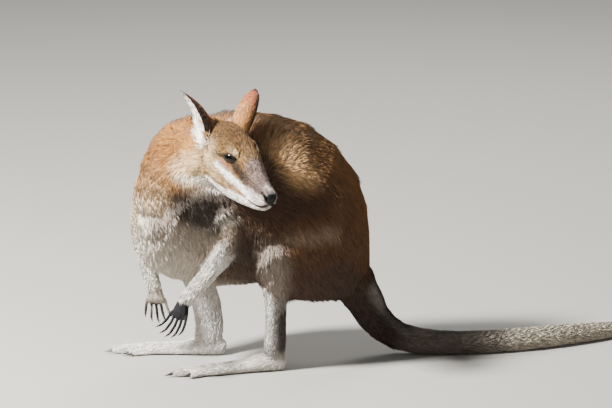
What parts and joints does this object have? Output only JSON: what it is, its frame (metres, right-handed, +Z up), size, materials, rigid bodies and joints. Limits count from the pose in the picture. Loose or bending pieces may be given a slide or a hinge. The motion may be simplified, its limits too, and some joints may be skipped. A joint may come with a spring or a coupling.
{
  "type": "wallaby",
  "caption": "Life-size agile wallaby standing on its hind feet, hands hanging, head turned back over its left side, with a long tail laid out on the floor behind.",
  "frame": {"origin": "middle of the bounding box in plan, on the floor", "axes": "+Z up, the body faces -Y with its left side towards +X, and the tail runs towards +Y"},
  "size_m": [0.3262, 1.0954, 0.4939],
  "materials": {
    "fur": "short dense coat",
    "eye": "wet gloss",
    "nose": "moist bare skin",
    "claw": "worn horn"
  },
  "bodies": {
    "root": {"belly": "fur", "chest": "fur", "claw_foot_left_2": "claw", "claw_foot_left_3": "claw", "claw_foot_left_4": "claw", "claw_foot_left_5": "claw", "claw_foot_right_2": "claw", "claw_foot_right_3": "claw", "claw_foot_right_4": "claw", "claw_foot_right_5": "claw", "claw_hand_left_1": "claw", "claw_hand_left_2": "claw", "claw_hand_left_3": "claw", "claw_hand_left_4": "claw", "claw_hand_left_5": "claw", "claw_hand_right_1": "claw", "claw_hand_right_2": "claw", "claw_hand_right_3": "claw", "claw_hand_right_4": "claw", "claw_hand_right_5": "claw", "ear_left": "fur", "ear_right": "fur", "eye_left": "eye", "eye_right": "eye", "foot_left": "fur", "foot_right": "fur", "forearm_left": "fur", "forearm_right": "fur", "hand_left": "fur", "hand_right": "fur", "head": "fur", "hips": "fur", "neck": "fur", "nose": "nose", "shank_left": "fur", "shank_right": "fur", "tail_end": "fur", "tail_middle": "fur", "tail_root": "fur", "tail_tip": "fur", "thigh_left": "fur", "thigh_right": "fur", "upper_arm_left": "fur", "upper_arm_right": "fur"}
  },
  "joints": []
}
